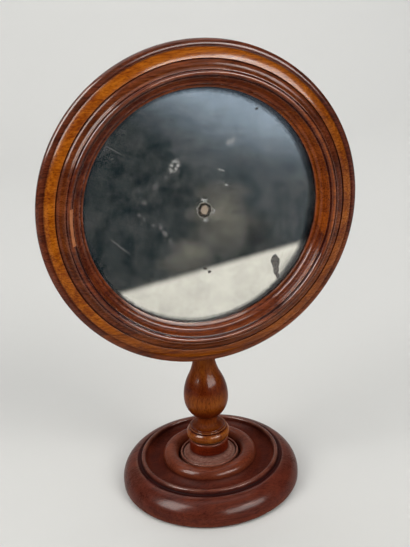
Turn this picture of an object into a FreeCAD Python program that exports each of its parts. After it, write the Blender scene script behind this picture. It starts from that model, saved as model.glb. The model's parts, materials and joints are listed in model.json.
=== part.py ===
import FreeCAD, Part
import math
import os

# A turned mahogany table mirror: a round mirror head that tilts on a knuckle behind its middle, a
# baluster stem that turns in a socket, and a dished base. Millimetres, +Z up, the mirror faces -Y.
# The origin is on the table, under the stem's axis. Turned outlines are pairs of a radius and a
# height; on the mirror head the height is the distance in front of the pivot's axis.

# Fits
fit = 0.05                  # gap round what is glued, pressed or screwed in
running_fit = 0.05          # gap of a pin that turns, and between faces that rub
edge_gap = 0.4              # gap round the glass and the sheets behind it

# Base
pad_thickness = 1.0
pad_inset = 2.0
base_radius = 59.4
base_edge_round = 1.0
base_edge_height = 2.6
ovolo_width = 10.3
ovolo_rise = 12.0
base_quirk_depth = 0.9
base_quirk_width = 3.0
rim_width = 2.6
rim_rise = 3.3              # from the quirk's floor to the rim's top
tray_depth = 7.2            # from the rim's top to the tray's floor
tray_hollow = 4.2           # how far the tray's floor curves down between its two sides
ring_width = 10.3
ring_rise = 2.9             # from the rim's top to the inner ring's top
recess_depth = 7.9          # from the inner ring's top to the seat of the socket
seat_gap = 1.7              # open gap between the socket's edge and the inner ring

# Socket
socket_radius = 13.0
socket_height = 8.0         # plain cylinder
socket_chamfer = 0.5
socket_slope_rise = 3.9
socket_slope_width = 4.7
socket_slope_hollow = 0.4
socket_quirk_width = 0.5
socket_quirk_depth = 0.6
socket_edge_width = 1.2     # thin raised edge round the foot
socket_edge_height = 4.6    # its upright side, up to the round
spigot_radius = 10.0
spigot_length = 6.8
socket_web = 3.8            # wood left under the stem's pin

# Stem
leather_thickness = 0.9
leather_inset = 0.3
pin_radius = 7.0
pin_end_gap = 0.3
collar_radius = 12.6
collar_height = 6.6
collar_swell = 1.7
collar_quirk_depth = 0.6
collar_quirk_height = 0.5
fillet_inset = 0.2
fillet_height = 0.8
upper_fillet_inset = 1.1
upper_fillet_height = 0.7
scotia_inset = 0.6
scotia_height = 4.2
scotia_hollow = 1.3
neck_radius = 6.8
neck_height = 4.0
vase_foot_radius = 8.7
belly_radius = 14.7
belly_height = 13.2         # from the neck to the widest place
vase_height = 31.2          # from the widest place to the foot of the column
column_foot_radius = 6.9
column_top_radius = 6.3
column_length = 101.0       # from its foot to the pivot
tongue_thickness = 7.0
tongue_length = 11.5        # from its shoulder to the pivot

# Screw that keeps the stem in its socket
stem_screw_radius = 2.4
stem_screw_head_radius = 4.5
stem_screw_head_height = 2.8
stem_screw_bite = 16.0      # length inside the stem's pin
screw_washer_radius = 8.0
screw_washer_thickness = 1.0
counterbore_radius = 9.0
screw_hole_clearance = 0.3

# Knuckle
knuckle_clearance = 1.9     # between the tongue's round end and the flange
flange_radius = 21.0
flange_thickness = 5.2
ear_thickness = 6.5
ear_half_width = 9.0
knuckle_spigot_radius = 6.0
friction_washer_thickness = 0.8
friction_washer_radius = 6.0
pivot_radius = 2.5
pivot_washer_radius = 6.0
pivot_washer_thickness = 1.0
nut_width = 8.0
nut_thickness = 3.5
nut_let_in = 3.0
screw_end_proud = 1.2
knob_neck_radius = 4.0
knob_neck_length = 2.5
knob_radius = 8.0
knob_length = 7.0
knob_crown = 1.4

# Mirror head, from back to front
backboard_thickness = 5.0
packing_thickness = 1.0
foil_thickness = 0.2
glass_thickness = 2.6
sight_lip = 1.5             # upright edge of the sight ring, in front of the glass
glass_overlap = 5.0         # glass hidden behind the sight ring
rebate_ledge = 11.0         # width of the ledge that the backboard sits on

# Frame moulding, from its edge inwards
frame_radius = 95.0
back_round_width = 4.4
back_round_bulge = 1.6
nose_setback = 10.0         # from the back to the widest place
nose_width = 3.9
nose_rise = 1.7
nose_bulge = 0.7
band_step_width = 0.2
band_step = 0.6
band_width = 5.8
band_rise = 2.4
band_crown = 0.3
frame_quirk_depth = 0.7
frame_quirk_width = 0.5
ogee_width = 4.6
ogee_rise = 3.6
ogee_bend = 0.3
fillet_width = 0.7
fillet_rise = 0.2

# Sight ring moulding, from its joint with the frame inwards
crest_joint_drop = 0.3      # how far its edge lies below the frame's fillet
crest_width = 2.85
crest_crown = 1.0
crest_quirk = 0.4           # step down from the crest bead to the hollow
hollow_width = 2.9
hollow_drop = 3.5
hollow_bend = 0.4
sight_quirk = 0.3           # step down from the hollow to the sight bead
sight_bead_width = 2.3
sight_bead_drop = 2.2
sight_bead_bulge = 0.5
lip_quirk = 0.2             # step down from the sight bead to the lip's slope
lip_width = 1.7

# Slip let into the crest bead
slip_angle = 178.5          # its middle, anticlockwise from the right as seen from the front
slip_span = 15.5
slip_inset = 1.75           # crest left standing outside it
slip_overlap = 0.6          # how far it reaches into the hollow
slip_depth = 2.0            # below the crest bead's edges

# Small screws
board_screw_count = 6
board_screw_radius = 1.4
board_screw_head_radius = 2.7
board_screw_head_depth = 1.7
board_screw_length = 11.0
knuckle_screw_radius = 1.6
knuckle_screw_head_radius = 3.1
knuckle_screw_head_depth = 1.9
knuckle_screw_length = 15.0
knuckle_screw_rise = 6.2    # above and below the pivot
slot_width = 0.7
slot_depth = 0.7

# Heights worked out for the base
base_bottom = pad_thickness
ovolo_foot = base_bottom + base_edge_round + base_edge_height
groove_floor = ovolo_foot + ovolo_rise - base_quirk_depth
rim_top = groove_floor + rim_rise
tray_side = rim_top - tray_depth + tray_hollow
ring_top = rim_top + ring_rise
socket_seat = ring_top - recess_depth
spigot_end = socket_seat - spigot_length
socket_edge_top = socket_seat + socket_edge_height
slope_foot = socket_edge_top - socket_quirk_depth
socket_top = slope_foot + socket_slope_rise + socket_height

# Heights worked out for the stem
collar_bottom = socket_top + leather_thickness + running_fit
pin_end = spigot_end + socket_web + pin_end_gap
collar_top = collar_bottom + collar_height
fillet_bottom = collar_top + collar_quirk_height
upper_fillet_bottom = fillet_bottom + fillet_height
scotia_foot = upper_fillet_bottom + upper_fillet_height
neck_foot = scotia_foot + scotia_height
neck_top = neck_foot + neck_height
belly_z = neck_top + belly_height
column_foot = belly_z + vase_height
pivot_z = column_foot + column_length
shoulder_z = pivot_z - tongue_length

# Radii worked out for the base and the socket
socket_edge_radius = (socket_radius + socket_slope_width + socket_quirk_width + socket_edge_width)
recess_radius = socket_edge_radius + seat_gap
ring_outer = recess_radius + ring_width
groove_outer = base_radius - ovolo_width
rim_outer = groove_outer - base_quirk_width
rim_inner = rim_outer - rim_width
pad_radius = base_radius - base_edge_round - pad_inset

# Distances in front of the pivot, from the knuckle's flange to the frame's crest
flange_back = column_top_radius + knuckle_clearance
back_face = flange_back + flange_thickness
board_front = back_face + backboard_thickness
packing_front = board_front + packing_thickness
foil_front = packing_front + foil_thickness
glass_front = foil_front + glass_thickness
nose_depth = back_face + nose_setback
nose_front = nose_depth + nose_rise
band_outer_front = nose_front + band_step
band_inner_front = band_outer_front + band_rise
ogee_outer_front = band_inner_front - frame_quirk_depth
ogee_inner_front = ogee_outer_front + ogee_rise
fillet_front = ogee_inner_front + fillet_rise

# Radii worked out for the frame and the mirror
nose_inner = frame_radius - nose_width
band_outer = nose_inner - band_step_width
band_inner = band_outer - band_width
ogee_outer = band_inner - frame_quirk_width
ogee_inner = ogee_outer - ogee_width
joint_radius = ogee_inner - fillet_width
crest_outer = joint_radius - fit
crest_inner = crest_outer - crest_width
crest_edge_front = fillet_front - crest_joint_drop
hollow_top_front = crest_edge_front - crest_quirk
hollow_foot = crest_inner - hollow_width
hollow_foot_front = hollow_top_front - hollow_drop
bead_outer_front = hollow_foot_front - sight_quirk
bead_inner = hollow_foot - sight_bead_width
bead_inner_front = bead_outer_front - sight_bead_drop
sight_radius = bead_inner - lip_width
glass_radius = sight_radius + glass_overlap
pocket_radius = glass_radius + edge_gap
rebate_radius = pocket_radius + rebate_ledge
back_outer = frame_radius - back_round_width
board_screw_circle = (joint_radius + rebate_radius) / 2

# Distances to the side of the knuckle's middle
washer_inner = tongue_thickness / 2 + running_fit
ear_inner = washer_inner + friction_washer_thickness
ear_outer = ear_inner + ear_thickness
knob_seat = ear_outer + pivot_washer_thickness
nut_inner = ear_outer - nut_let_in
nut_outer = nut_inner + nut_thickness

up = FreeCAD.Vector(0, 0, 1)
side = FreeCAD.Vector(1, 0, 0)
back = FreeCAD.Vector(0, 1, 0)
pivot = FreeCAD.Vector(0, 0, pivot_z)


class Outline:
    """A closed outline in a half plane: lines, arcs and curves from point to point."""

    def __init__(self, place, radius, height):
        self.place = place
        self.start = (radius, height)
        self.here = self.start
        self.edges = []

    def line(self, *points):
        for point in points:
            if math.dist(point, self.here) > 1e-6:
                ends = (self.place(*self.here), self.place(*point))
                self.edges.append(Part.LineSegment(*ends).toShape())
                self.here = point
        return self

    def through(self, middle, end):
        """A circular arc that passes through a middle point."""
        points = [self.place(*point) for point in (self.here, middle, end)]
        self.edges.append(Part.Arc(*points).toShape())
        self.here = end
        return self

    def arc(self, end, rise):
        """A circular arc that stands off its chord, to the left where the rise is positive."""
        across = (end[0] - self.here[0], end[1] - self.here[1])
        length = math.hypot(*across)
        middle = ((self.here[0] + end[0]) / 2 - across[1] / length * rise,
                  (self.here[1] + end[1]) / 2 + across[0] / length * rise)
        return self.through(middle, end)

    def face(self):
        self.line(self.start)
        return Part.Face(Part.Wire(Part.__sortEdges__(self.edges)))


def upright(radius, height):
    return FreeCAD.Vector(radius, 0, height)


def facing(radius, front):
    return FreeCAD.Vector(radius, -front, pivot_z)


def crosswise(radius, distance):
    return FreeCAD.Vector(distance, 0, pivot_z + radius)


def turn_upright(outline, angle=360):
    return outline.face().revolve(FreeCAD.Vector(), up, angle)


def turn_facing(outline, angle=360):
    return outline.face().revolve(pivot, back, angle)


def turn_crosswise(outline):
    return outline.face().revolve(pivot, side, 360)


def ring(place, turn, inner, outer, low, high):
    """A plain turned ring, or a disc where the inner radius is nought."""
    return turn(Outline(place, inner, low).line((outer, low), (outer, high), (inner, high)))


def block(x_range, y_range, z_range):
    ranges = (x_range, y_range, z_range)
    sizes = [high - low for low, high in ranges]
    return Part.makeBox(*sizes, FreeCAD.Vector(*[low for low, high in ranges]))


def cross_hole(radius, start, end):
    """A round hole or rod along the pivot's axis."""
    return Part.makeCylinder(radius, end - start, pivot + side * start, side)


def make_base_disc():
    edge = base_radius - base_edge_round
    corner = base_edge_round * (1 - math.sqrt(0.5))
    hole = spigot_radius + fit
    shape = Outline(upright, counterbore_radius, base_bottom)
    shape.line((edge, base_bottom))
    shape.through((base_radius - corner, base_bottom + corner), (base_radius, base_bottom + base_edge_round))
    shape.line((base_radius, ovolo_foot))
    # The ovolo starts upright: its centre is level with its foot.
    ovolo_size = (ovolo_width ** 2 + ovolo_rise ** 2) / (2 * ovolo_width)
    half_turn = math.asin(ovolo_rise / ovolo_size) / 2
    ovolo_middle = (base_radius - ovolo_size * (1 - math.cos(half_turn)),
                    ovolo_foot + ovolo_size * math.sin(half_turn))
    shape.through(ovolo_middle, (groove_outer, ovolo_foot + ovolo_rise))
    shape.line((groove_outer, groove_floor), (rim_outer, groove_floor), (rim_outer, rim_top - rim_width / 2))
    shape.arc((rim_inner, rim_top - rim_width / 2), -rim_width / 2)
    shape.line((rim_inner, tray_side))
    shape.arc((ring_outer, tray_side), tray_hollow)
    shape.line((ring_outer, ring_top - ring_width / 2))
    shape.arc((recess_radius, ring_top - ring_width / 2), -ring_width / 2)
    shape.line((recess_radius, socket_seat), (hole, socket_seat))
    shape.line((hole, spigot_end - fit), (counterbore_radius, spigot_end - fit))
    return turn_upright(shape)


def make_baize_pad():
    return ring(upright, turn_upright, 0, pad_radius, 0, pad_thickness)


def make_stem_socket():
    edge_inner = socket_edge_radius - socket_edge_width
    slope_outer = edge_inner - socket_quirk_width
    slope_top = slope_foot + socket_slope_rise
    bore = pin_radius + running_fit
    screw_hole = stem_screw_radius + screw_hole_clearance
    shape = Outline(upright, screw_hole, spigot_end)
    shape.line((spigot_radius, spigot_end), (spigot_radius, socket_seat))
    shape.line((socket_edge_radius, socket_seat), (socket_edge_radius, socket_edge_top))
    shape.arc((edge_inner, socket_edge_top), -socket_edge_width / 2)
    shape.line((edge_inner, slope_foot), (slope_outer, slope_foot))
    shape.arc((socket_radius, slope_top), socket_slope_hollow)
    shape.line((socket_radius, socket_top - socket_chamfer), (socket_radius - socket_chamfer, socket_top))
    shape.line((bore, socket_top), (bore, spigot_end + socket_web), (screw_hole, spigot_end + socket_web))
    return turn_upright(shape)


def make_swivel_leather():
    outer = min(collar_radius, socket_radius - socket_chamfer) - leather_inset
    return ring(upright, turn_upright, pin_radius + leather_inset, outer,
                socket_top, socket_top + leather_thickness)


def vase_lower_half(shape):
    """Up from the neck to the belly: a quarter of an ellipse, cut off at the vase's foot."""
    half_height = belly_height / math.sqrt(1 - (vase_foot_radius / belly_radius) ** 2)
    low_angle = math.acos(vase_foot_radius / belly_radius)
    ends = (FreeCAD.Vector(belly_radius, 0, belly_z), FreeCAD.Vector(0, 0, belly_z - half_height))
    centre = FreeCAD.Vector(0, 0, belly_z)
    if half_height > belly_radius:
        ellipse = Part.Ellipse(ends[1], ends[0], centre)
        span = (math.pi / 2 - low_angle, math.pi / 2)
    else:
        ellipse = Part.Ellipse(ends[0], ends[1], centre)
        span = (0, low_angle)
    shape.edges.append(Part.ArcOfEllipse(ellipse, *span).toShape())
    shape.here = (belly_radius, belly_z)


def vase_upper_half(shape):
    """Up from the belly to the column: two equal arcs, upright at both ends, that meet half way."""
    inset = belly_radius - column_foot_radius
    half_turn = math.atan(inset / vase_height)
    size = vase_height / (2 * math.sin(2 * half_turn))
    arc_inset = size * (1 - math.cos(half_turn))
    arc_rise = size * math.sin(half_turn)
    meeting = (belly_radius - inset / 2, belly_z + vase_height / 2)
    shape.through((belly_radius - arc_inset, belly_z + arc_rise), meeting)
    shape.through((column_foot_radius + arc_inset, column_foot - arc_rise), (column_foot_radius, column_foot))


def make_stem():
    quirk_radius = collar_radius - collar_quirk_depth
    fillet_radius = collar_radius - fillet_inset
    upper_fillet_radius = fillet_radius - upper_fillet_inset
    pilot = stem_screw_radius + fit
    pilot_end = pin_end + stem_screw_bite
    tip = pivot_z + column_top_radius
    shape = Outline(upright, pilot, pin_end)
    shape.line((pin_radius, pin_end), (pin_radius, collar_bottom), (collar_radius, collar_bottom))
    shape.arc((collar_radius, collar_top), -collar_swell)
    shape.line((quirk_radius, collar_top), (quirk_radius, fillet_bottom), (fillet_radius, fillet_bottom))
    shape.line((fillet_radius, upper_fillet_bottom), (upper_fillet_radius, upper_fillet_bottom))
    shape.line((upper_fillet_radius, scotia_foot), (upper_fillet_radius - scotia_inset, scotia_foot))
    shape.arc((neck_radius, neck_foot), scotia_hollow)
    shape.line((neck_radius, neck_top), (vase_foot_radius, neck_top))
    vase_lower_half(shape)
    vase_upper_half(shape)
    shape.line((column_top_radius, shoulder_z), (column_top_radius, tip), (0, tip))
    shape.line((0, pilot_end + stem_screw_radius), (pilot, pilot_end))
    stem = turn_upright(shape)
    # The top is sawn to a tongue with a round end, and bored for the pivot.
    reach = 2 * column_top_radius
    for cheek in ((tongue_thickness / 2, reach), (-reach, -tongue_thickness / 2)):
        stem = stem.cut(block(cheek, (-reach, reach), (shoulder_z, tip + reach)))
    corners = block((-reach, reach), (-reach, reach), (pivot_z, tip + reach))
    stem = stem.cut(corners.cut(cross_hole(column_top_radius, -reach, reach)))
    return stem.cut(cross_hole(pivot_radius + running_fit, -reach, reach))


def make_screw_washer():
    top = spigot_end
    return ring(upright, turn_upright, stem_screw_radius + screw_hole_clearance, screw_washer_radius,
                top - screw_washer_thickness, top)


def make_stem_screw():
    head_top = spigot_end - screw_washer_thickness - running_fit
    head_bottom = head_top - stem_screw_head_height
    shank_end = pin_end + stem_screw_bite
    shape = Outline(upright, 0, head_bottom)
    shape.line((stem_screw_head_radius, head_bottom), (stem_screw_head_radius, head_top))
    shape.line((stem_screw_radius, head_top), (stem_screw_radius, shank_end - stem_screw_radius))
    shape.line((0, shank_end))
    slot = block((-base_radius, base_radius), (-slot_width / 2, slot_width / 2),
                 (head_bottom, head_bottom + slot_depth))
    return turn_upright(shape).cut(slot)


def small_screw(head_radius, head_depth, shank_radius, length, slack=0):
    """A countersunk wood screw with its head's face at the origin and its point down. With slack
    it is the hole for that screw."""
    head = head_radius + slack
    shank = shank_radius + slack
    shape = Outline(upright, 0, -length - slack)
    shape.line((shank, -length + shank_radius - slack), (shank, -head_depth), (head, 0), (0, 0))
    solid = turn_upright(shape)
    if slack:
        return solid
    return solid.cut(block((-head_radius, head_radius), (-slot_width / 2, slot_width / 2), (-slot_depth, 0)))


def board_screws(slack=0):
    """The screws round the backboard, points to the front."""
    screws = []
    for number in range(board_screw_count):
        angle = math.radians(360 / board_screw_count * (number + 0.5))
        screw = small_screw(board_screw_head_radius, board_screw_head_depth, board_screw_radius,
                            board_screw_length, slack)
        screw.rotate(FreeCAD.Vector(), side, -90)
        screw.translate(facing(0, back_face) + FreeCAD.Vector(math.cos(angle), 0, math.sin(angle))
                        * board_screw_circle)
        screws.append(screw)
    return Part.makeCompound(screws)


def knuckle_screws(slack=0):
    """The screws through the backboard into the knuckle's ears, points to the back."""
    screws = []
    ear_middle = (ear_inner + ear_outer) / 2
    for sideways in (-ear_middle, ear_middle):
        for rise in (-knuckle_screw_rise, knuckle_screw_rise):
            screw = small_screw(knuckle_screw_head_radius, knuckle_screw_head_depth,
                                knuckle_screw_radius, knuckle_screw_length, slack)
            screw.rotate(FreeCAD.Vector(), side, 90)
            screw.translate(facing(0, board_front) + FreeCAD.Vector(sideways, 0, rise))
            screws.append(screw)
    return Part.makeCompound(screws)


def make_frame_ring():
    shape = Outline(facing, rebate_radius, back_face)
    shape.line((back_outer, back_face))
    shape.arc((frame_radius, nose_depth), -back_round_bulge)
    shape.arc((nose_inner, nose_front), -nose_bulge)
    shape.line((band_outer, band_outer_front))
    shape.arc((band_inner, band_inner_front), -band_crown)
    shape.line((band_inner, ogee_outer_front), (ogee_outer, ogee_outer_front))
    ogee_middle = ((ogee_outer + ogee_inner) / 2, (ogee_outer_front + ogee_inner_front) / 2)
    shape.arc(ogee_middle, -ogee_bend)
    shape.arc((ogee_inner, ogee_inner_front), ogee_bend)
    shape.line((joint_radius, fillet_front), (joint_radius, glass_front), (pocket_radius, glass_front))
    shape.line((pocket_radius, board_front), (rebate_radius, board_front))
    return turn_facing(shape).cut(board_screws(fit))


def slip_cutter(slack):
    """The piece of ring that the slip fills, or with slack its seat."""
    inner = crest_inner - slip_overlap - slack
    outer = crest_outer - slip_inset + slack
    low = crest_edge_front - slip_depth - slack
    high = crest_edge_front + 2 * crest_crown
    span = slip_span + 2 * math.degrees(slack / crest_outer)
    shape = Outline(facing, inner, low).line((outer, low), (outer, high), (inner, high))
    cutter = turn_facing(shape, span)
    cutter.rotate(pivot, back, -slip_angle - span / 2)
    return cutter


def make_plain_sight_ring():
    shape = Outline(facing, sight_radius, glass_front)
    shape.line((crest_outer, glass_front), (crest_outer, crest_edge_front))
    shape.arc((crest_inner, crest_edge_front), -crest_crown)
    shape.line((crest_inner, hollow_top_front))
    shape.arc((hollow_foot, hollow_foot_front), hollow_bend)
    shape.line((hollow_foot, bead_outer_front))
    shape.arc((bead_inner, bead_inner_front), -sight_bead_bulge)
    shape.line((bead_inner, bead_inner_front - lip_quirk), (sight_radius, glass_front + sight_lip))
    return turn_facing(shape)


def make_sight_ring():
    return make_plain_sight_ring().cut(slip_cutter(fit))


def make_crest_slip():
    return make_plain_sight_ring().common(slip_cutter(0))


def make_mirror_glass():
    return ring(facing, turn_facing, 0, glass_radius, foil_front, glass_front)


def make_silver_foil():
    return ring(facing, turn_facing, 0, glass_radius, packing_front, foil_front)


def make_packing_felt():
    return ring(facing, turn_facing, 0, glass_radius, board_front, packing_front)


def make_backboard():
    board = ring(facing, turn_facing, knuckle_spigot_radius + fit, rebate_radius - edge_gap,
                 back_face, board_front)
    return board.cut(board_screws(fit)).cut(knuckle_screws(fit))


def make_knuckle_block():
    flange = ring(facing, turn_facing, 0, flange_radius, flange_back, back_face)
    spigot = ring(facing, turn_facing, 0, knuckle_spigot_radius, back_face, board_front - fit)
    knuckle = flange.fuse(spigot)
    for start, end in ((ear_inner, ear_outer), (-ear_outer, -ear_inner)):
        root = block((start, end), (-flange_back, 0), (pivot_z - ear_half_width, pivot_z + ear_half_width))
        knuckle = knuckle.fuse(root.fuse(cross_hole(ear_half_width, start, end)))
    nut_seat = nut_width / 2 + fit
    knuckle = knuckle.cut(block((-ear_outer, -nut_inner), (-nut_seat, nut_seat),
                                (pivot_z - nut_seat, pivot_z + nut_seat)))
    knuckle = knuckle.cut(cross_hole(pivot_radius + running_fit, -ear_outer, ear_outer))
    return knuckle.cut(knuckle_screws(fit)).removeSplitter()


def make_friction_washers():
    hole = pivot_radius + running_fit
    washers = [ring(crosswise, turn_crosswise, hole, friction_washer_radius, start,
                    start + friction_washer_thickness)
               for start in (washer_inner, -washer_inner - friction_washer_thickness)]
    return Part.makeCompound(washers)


def make_pivot_nut():
    half = nut_width / 2
    nut = block((-nut_outer, -nut_inner), (-half, half), (pivot_z - half, pivot_z + half))
    return nut.cut(cross_hole(pivot_radius + running_fit, -nut_outer, -nut_inner))


def make_pivot_washer():
    return ring(crosswise, turn_crosswise, pivot_radius + running_fit, pivot_washer_radius,
                ear_outer, knob_seat)


def make_thumb_screw():
    seat = knob_seat + running_fit
    knob_start = seat + knob_neck_length
    knob_end = knob_start + knob_length
    shank_end = -nut_outer - screw_end_proud
    shape = Outline(crosswise, 0, shank_end)
    shape.line((pivot_radius, shank_end), (pivot_radius, seat), (knob_neck_radius, seat))
    shape.arc((knob_neck_radius, knob_start), knob_neck_length / 4)
    shape.line((knob_radius - knob_crown, knob_start), (knob_radius, knob_start + knob_crown))
    shape.line((knob_radius, knob_end - knob_crown), (knob_radius - knob_crown, knob_end))
    # The knob's end is a piece of a ball: its arc meets the axis squarely.
    end_radius = knob_radius - knob_crown
    ball = (end_radius ** 2 + knob_crown ** 2) / (2 * knob_crown)
    half_turn = math.asin(end_radius / ball) / 2
    tip = knob_end + knob_crown
    shape.through((ball * math.sin(half_turn), tip - ball * (1 - math.cos(half_turn))), (0, tip))
    return turn_crosswise(shape)


pieces = {
    "base_disc": make_base_disc,
    "baize_pad": make_baize_pad,
    "stem_socket": make_stem_socket,
    "swivel_leather": make_swivel_leather,
    "stem": make_stem,
    "screw_washer": make_screw_washer,
    "stem_screw": make_stem_screw,
    "frame_ring": make_frame_ring,
    "sight_ring": make_sight_ring,
    "crest_slip": make_crest_slip,
    "mirror_glass": make_mirror_glass,
    "silver_foil": make_silver_foil,
    "packing_felt": make_packing_felt,
    "backboard": make_backboard,
    "backboard_screws": board_screws,
    "knuckle_block": make_knuckle_block,
    "knuckle_screws": knuckle_screws,
    "friction_washers": make_friction_washers,
    "pivot_nut": make_pivot_nut,
    "pivot_washer": make_pivot_washer,
    "thumb_screw": make_thumb_screw,
}

os.makedirs("parts", exist_ok=True)
for name, make in pieces.items():
    shape = make()
    shape.exportStep(f"parts/{name}.step")
    box = shape.BoundBox
    print(f"{name}: {len(shape.Solids)} solid, {shape.Volume:.0f} mm3, valid {shape.isValid()}, "
          f"z {box.ZMin:.2f} to {box.ZMax:.2f}")
print(f"pivot at z {pivot_z:.2f}, frame's widest place {nose_depth:.2f} in front of it")
print(f"sight radius {sight_radius:.2f}, crest {crest_edge_front:.2f}, glass front {glass_front:.2f}")
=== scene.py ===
# %% [markdown]
# # A turned mahogany table mirror
#
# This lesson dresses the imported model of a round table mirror: a baluster stem turns in a socket on a
# dished base, and carries a frame that tilts on a knuckle behind its middle. Nearly all of the real one
# was made on a lathe, so nearly everything here is one idea: an outline, softened by wear, carried
# round an axis.

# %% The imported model
import json
import bpy
import numpy as np
from mathutils import Matrix, Vector


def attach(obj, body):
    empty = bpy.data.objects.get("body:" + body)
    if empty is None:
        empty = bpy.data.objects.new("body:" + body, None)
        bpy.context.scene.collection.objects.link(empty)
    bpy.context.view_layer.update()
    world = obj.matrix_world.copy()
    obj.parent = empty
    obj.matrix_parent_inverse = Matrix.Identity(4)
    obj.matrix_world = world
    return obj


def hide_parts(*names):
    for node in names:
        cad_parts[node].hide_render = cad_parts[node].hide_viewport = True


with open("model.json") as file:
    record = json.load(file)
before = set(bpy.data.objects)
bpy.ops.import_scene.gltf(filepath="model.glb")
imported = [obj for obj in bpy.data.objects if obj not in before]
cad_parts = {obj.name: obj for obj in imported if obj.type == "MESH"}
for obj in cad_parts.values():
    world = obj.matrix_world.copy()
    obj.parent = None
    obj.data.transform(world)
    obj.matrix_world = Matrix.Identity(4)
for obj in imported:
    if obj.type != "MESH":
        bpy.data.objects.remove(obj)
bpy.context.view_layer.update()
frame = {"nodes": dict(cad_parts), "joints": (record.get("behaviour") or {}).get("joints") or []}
MM = 0.001
pivot_height = frame["joints"][1]["pos_m"][2] / MM
print(f"{len(frame['nodes'])} pieces; the mirror tilts about a line {pivot_height:.2f} mm above the table")


# %% [markdown]
# ## Outlines
#
# A wood turner thinks in stretches: a fillet, a hollow, a bead. An outline is a list of stops. Each
# gives a radius, a height, how far the stretch that leads to it swells to the left of its way
# (negative: to the right, nought: straight) and how pale it is: bleached by daylight, and on some
# stretches painted paler as painted light. Below nought it is darkened: dark wax, and painted shade in
# its crease. A bevel could round the arrises, but all alike. Here the stops are joined, cut into small
# steps and averaged with their neighbours, as years of dusting do.

# %% Stretches and wear
STEP = 0.05  # mm between the points of a dense outline


def stretch(start, end, swell):
    """Points of an arc from start to end. With half the arc's angle a and t from -1 to 1, a point is
    the chord's middle, plus half the chord times sin(at)/sin(a), plus the swell across the chord
    times (cos(at) - cos(a)) / (1 - cos(a)). No swell gives a straight line."""
    start, end = np.array(start, float), np.array(end, float)
    chord = end - start
    length = np.hypot(*chord)
    t = np.linspace(-1, 1, max(int(length / STEP), 2))[:, None]
    if swell == 0:
        return (start + end) / 2 + chord / 2 * t
    across = np.array([-chord[1], chord[0]]) / length
    a = 2 * np.arctan2(2 * abs(swell), length)
    lift = (np.cos(a * t) - np.cos(a)) / (1 - np.cos(a))
    return (start + end) / 2 + chord / 2 * np.sin(a * t) / np.sin(a) + across * swell * lift


def averaged(values, width, closed):
    """Each value becomes the mean of its neighbours under a bell curve of that width in mm."""
    reach = int(4 * width / STEP)
    bell = np.exp(-0.5 * (np.arange(-reach, reach + 1) * STEP / width) ** 2)
    padded = np.pad(values, [(reach, reach), (0, 0)], mode="wrap" if closed else "edge")
    smooth = [np.convolve(column, bell / bell.sum(), "valid") for column in padded.T]
    return np.stack(smooth, 1)


bead = stretch((0, 0), (4, 0), 2)
print(f"a half-round bead 4 mm wide has {len(bead)} points and is {np.ptp(bead[:, 1]):.2f} mm high")

# %% Worn outlines
NEAR, WIDE = 0.9, 4.0  # mm over which hollows, and sheltered places, are judged
HOLLOW_DEEP, SHELTER_DEEP = 0.35, 1.6  # mm inside the average at which each is full
STRAIGHT_SHARE, BEND_SPREAD = 0.012, 0.2  # points that a straight run still gets, and mm round a bend


def outline(stops, count, wear=0.12, fade=0.15, closed=True):
    """An outline of count points, softened by wear, closest together where it bends most. Columns:
    radius, height, paleness (bleaching and painted light), hollow, arris, sheltered, and the distance
    along it. An outline that lies inside its own average over a millimetre is a hollow, outside it an
    arris, and inside its average over several millimetres it is sheltered from the duster: dusty, dull
    and painted with shade. Fade is how softly one pale stretch meets the next."""
    ways = [stretch(a[:2], b[:2], b[2]) for a, b in zip(stops, stops[1:] + stops[:closed])]
    tones = [np.full(len(way), stop[3]) for way, stop in zip(ways, stops[1:] + stops[:closed])]
    points = np.column_stack([np.concatenate(ways), np.concatenate(tones)])
    run = np.append(0, np.cumsum(np.hypot(*np.diff(points[:, :2], axis=0).T)))
    keep = np.append(True, np.diff(run) > 1e-9)
    even = np.linspace(0, run[-1], int(run[-1] / STEP))
    dense = np.stack([np.interp(even, run[keep], column[keep]) for column in points.T], 1)
    ends = dense[[0, -1], :2].copy()
    shape, tone = averaged(dense[:, :2], wear, closed), averaged(dense[:, 2:], fade, closed)
    if not closed:
        shape[[0, -1]] = ends
    heading = np.gradient(shape, axis=0)
    outward = np.stack([heading[:, 1], -heading[:, 0]], 1)
    outward /= np.linalg.norm(outward, axis=1)[:, None]
    near, wide = (((averaged(shape, reach, closed) - shape) * outward).sum(1) for reach in (NEAR, WIDE))
    turn = np.abs(np.gradient(np.unwrap(np.arctan2(heading[:, 1], heading[:, 0]))))
    crowd = np.cumsum(averaged((turn + STRAIGHT_SHARE)[:, None], BEND_SPREAD, closed)[:, 0])
    hollow = np.maximum(np.clip(near / HOLLOW_DEEP, 0, 1), np.clip(-tone[:, 0], 0, 1))
    arris, sheltered = np.clip(-near / HOLLOW_DEEP, 0, 1), np.clip(wide / SHELTER_DEEP, 0, 1)
    table = np.column_stack([shape, np.maximum(tone, 0), hollow, arris, sheltered, even])
    at = np.linspace(crowd[0], crowd[-1], count, endpoint=not closed)
    return np.stack([np.interp(at, crowd, column) for column in table.T], 1)


print(f"outlines are cut every {STEP} mm, and hollows judged over {NEAR} mm")


# %% [markdown]
# ## From an outline to a turned piece
#
# Blender's Screw modifier could spin an outline. Here a turned surface is a grid of numbers instead,
# along the outline one way and round the axis the other, handed to the mesh in one go. That way, what
# the finishes need later, such as where dirt and painted shade gather, travels with the mesh as
# attributes.

# %% Places round an axis
def place_upright(radius, height, angle):
    """Round the stem's axis: x and y from the radius and the angle, z from the height."""
    return np.stack([radius * np.cos(angle), radius * np.sin(angle), height], -1)


def place_facing(radius, front, angle):
    """Round the mirror's axis, which looks along -Y at the pivot's height."""
    return np.stack([radius * np.cos(angle), -front, pivot_height + radius * np.sin(angle)], -1)


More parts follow.
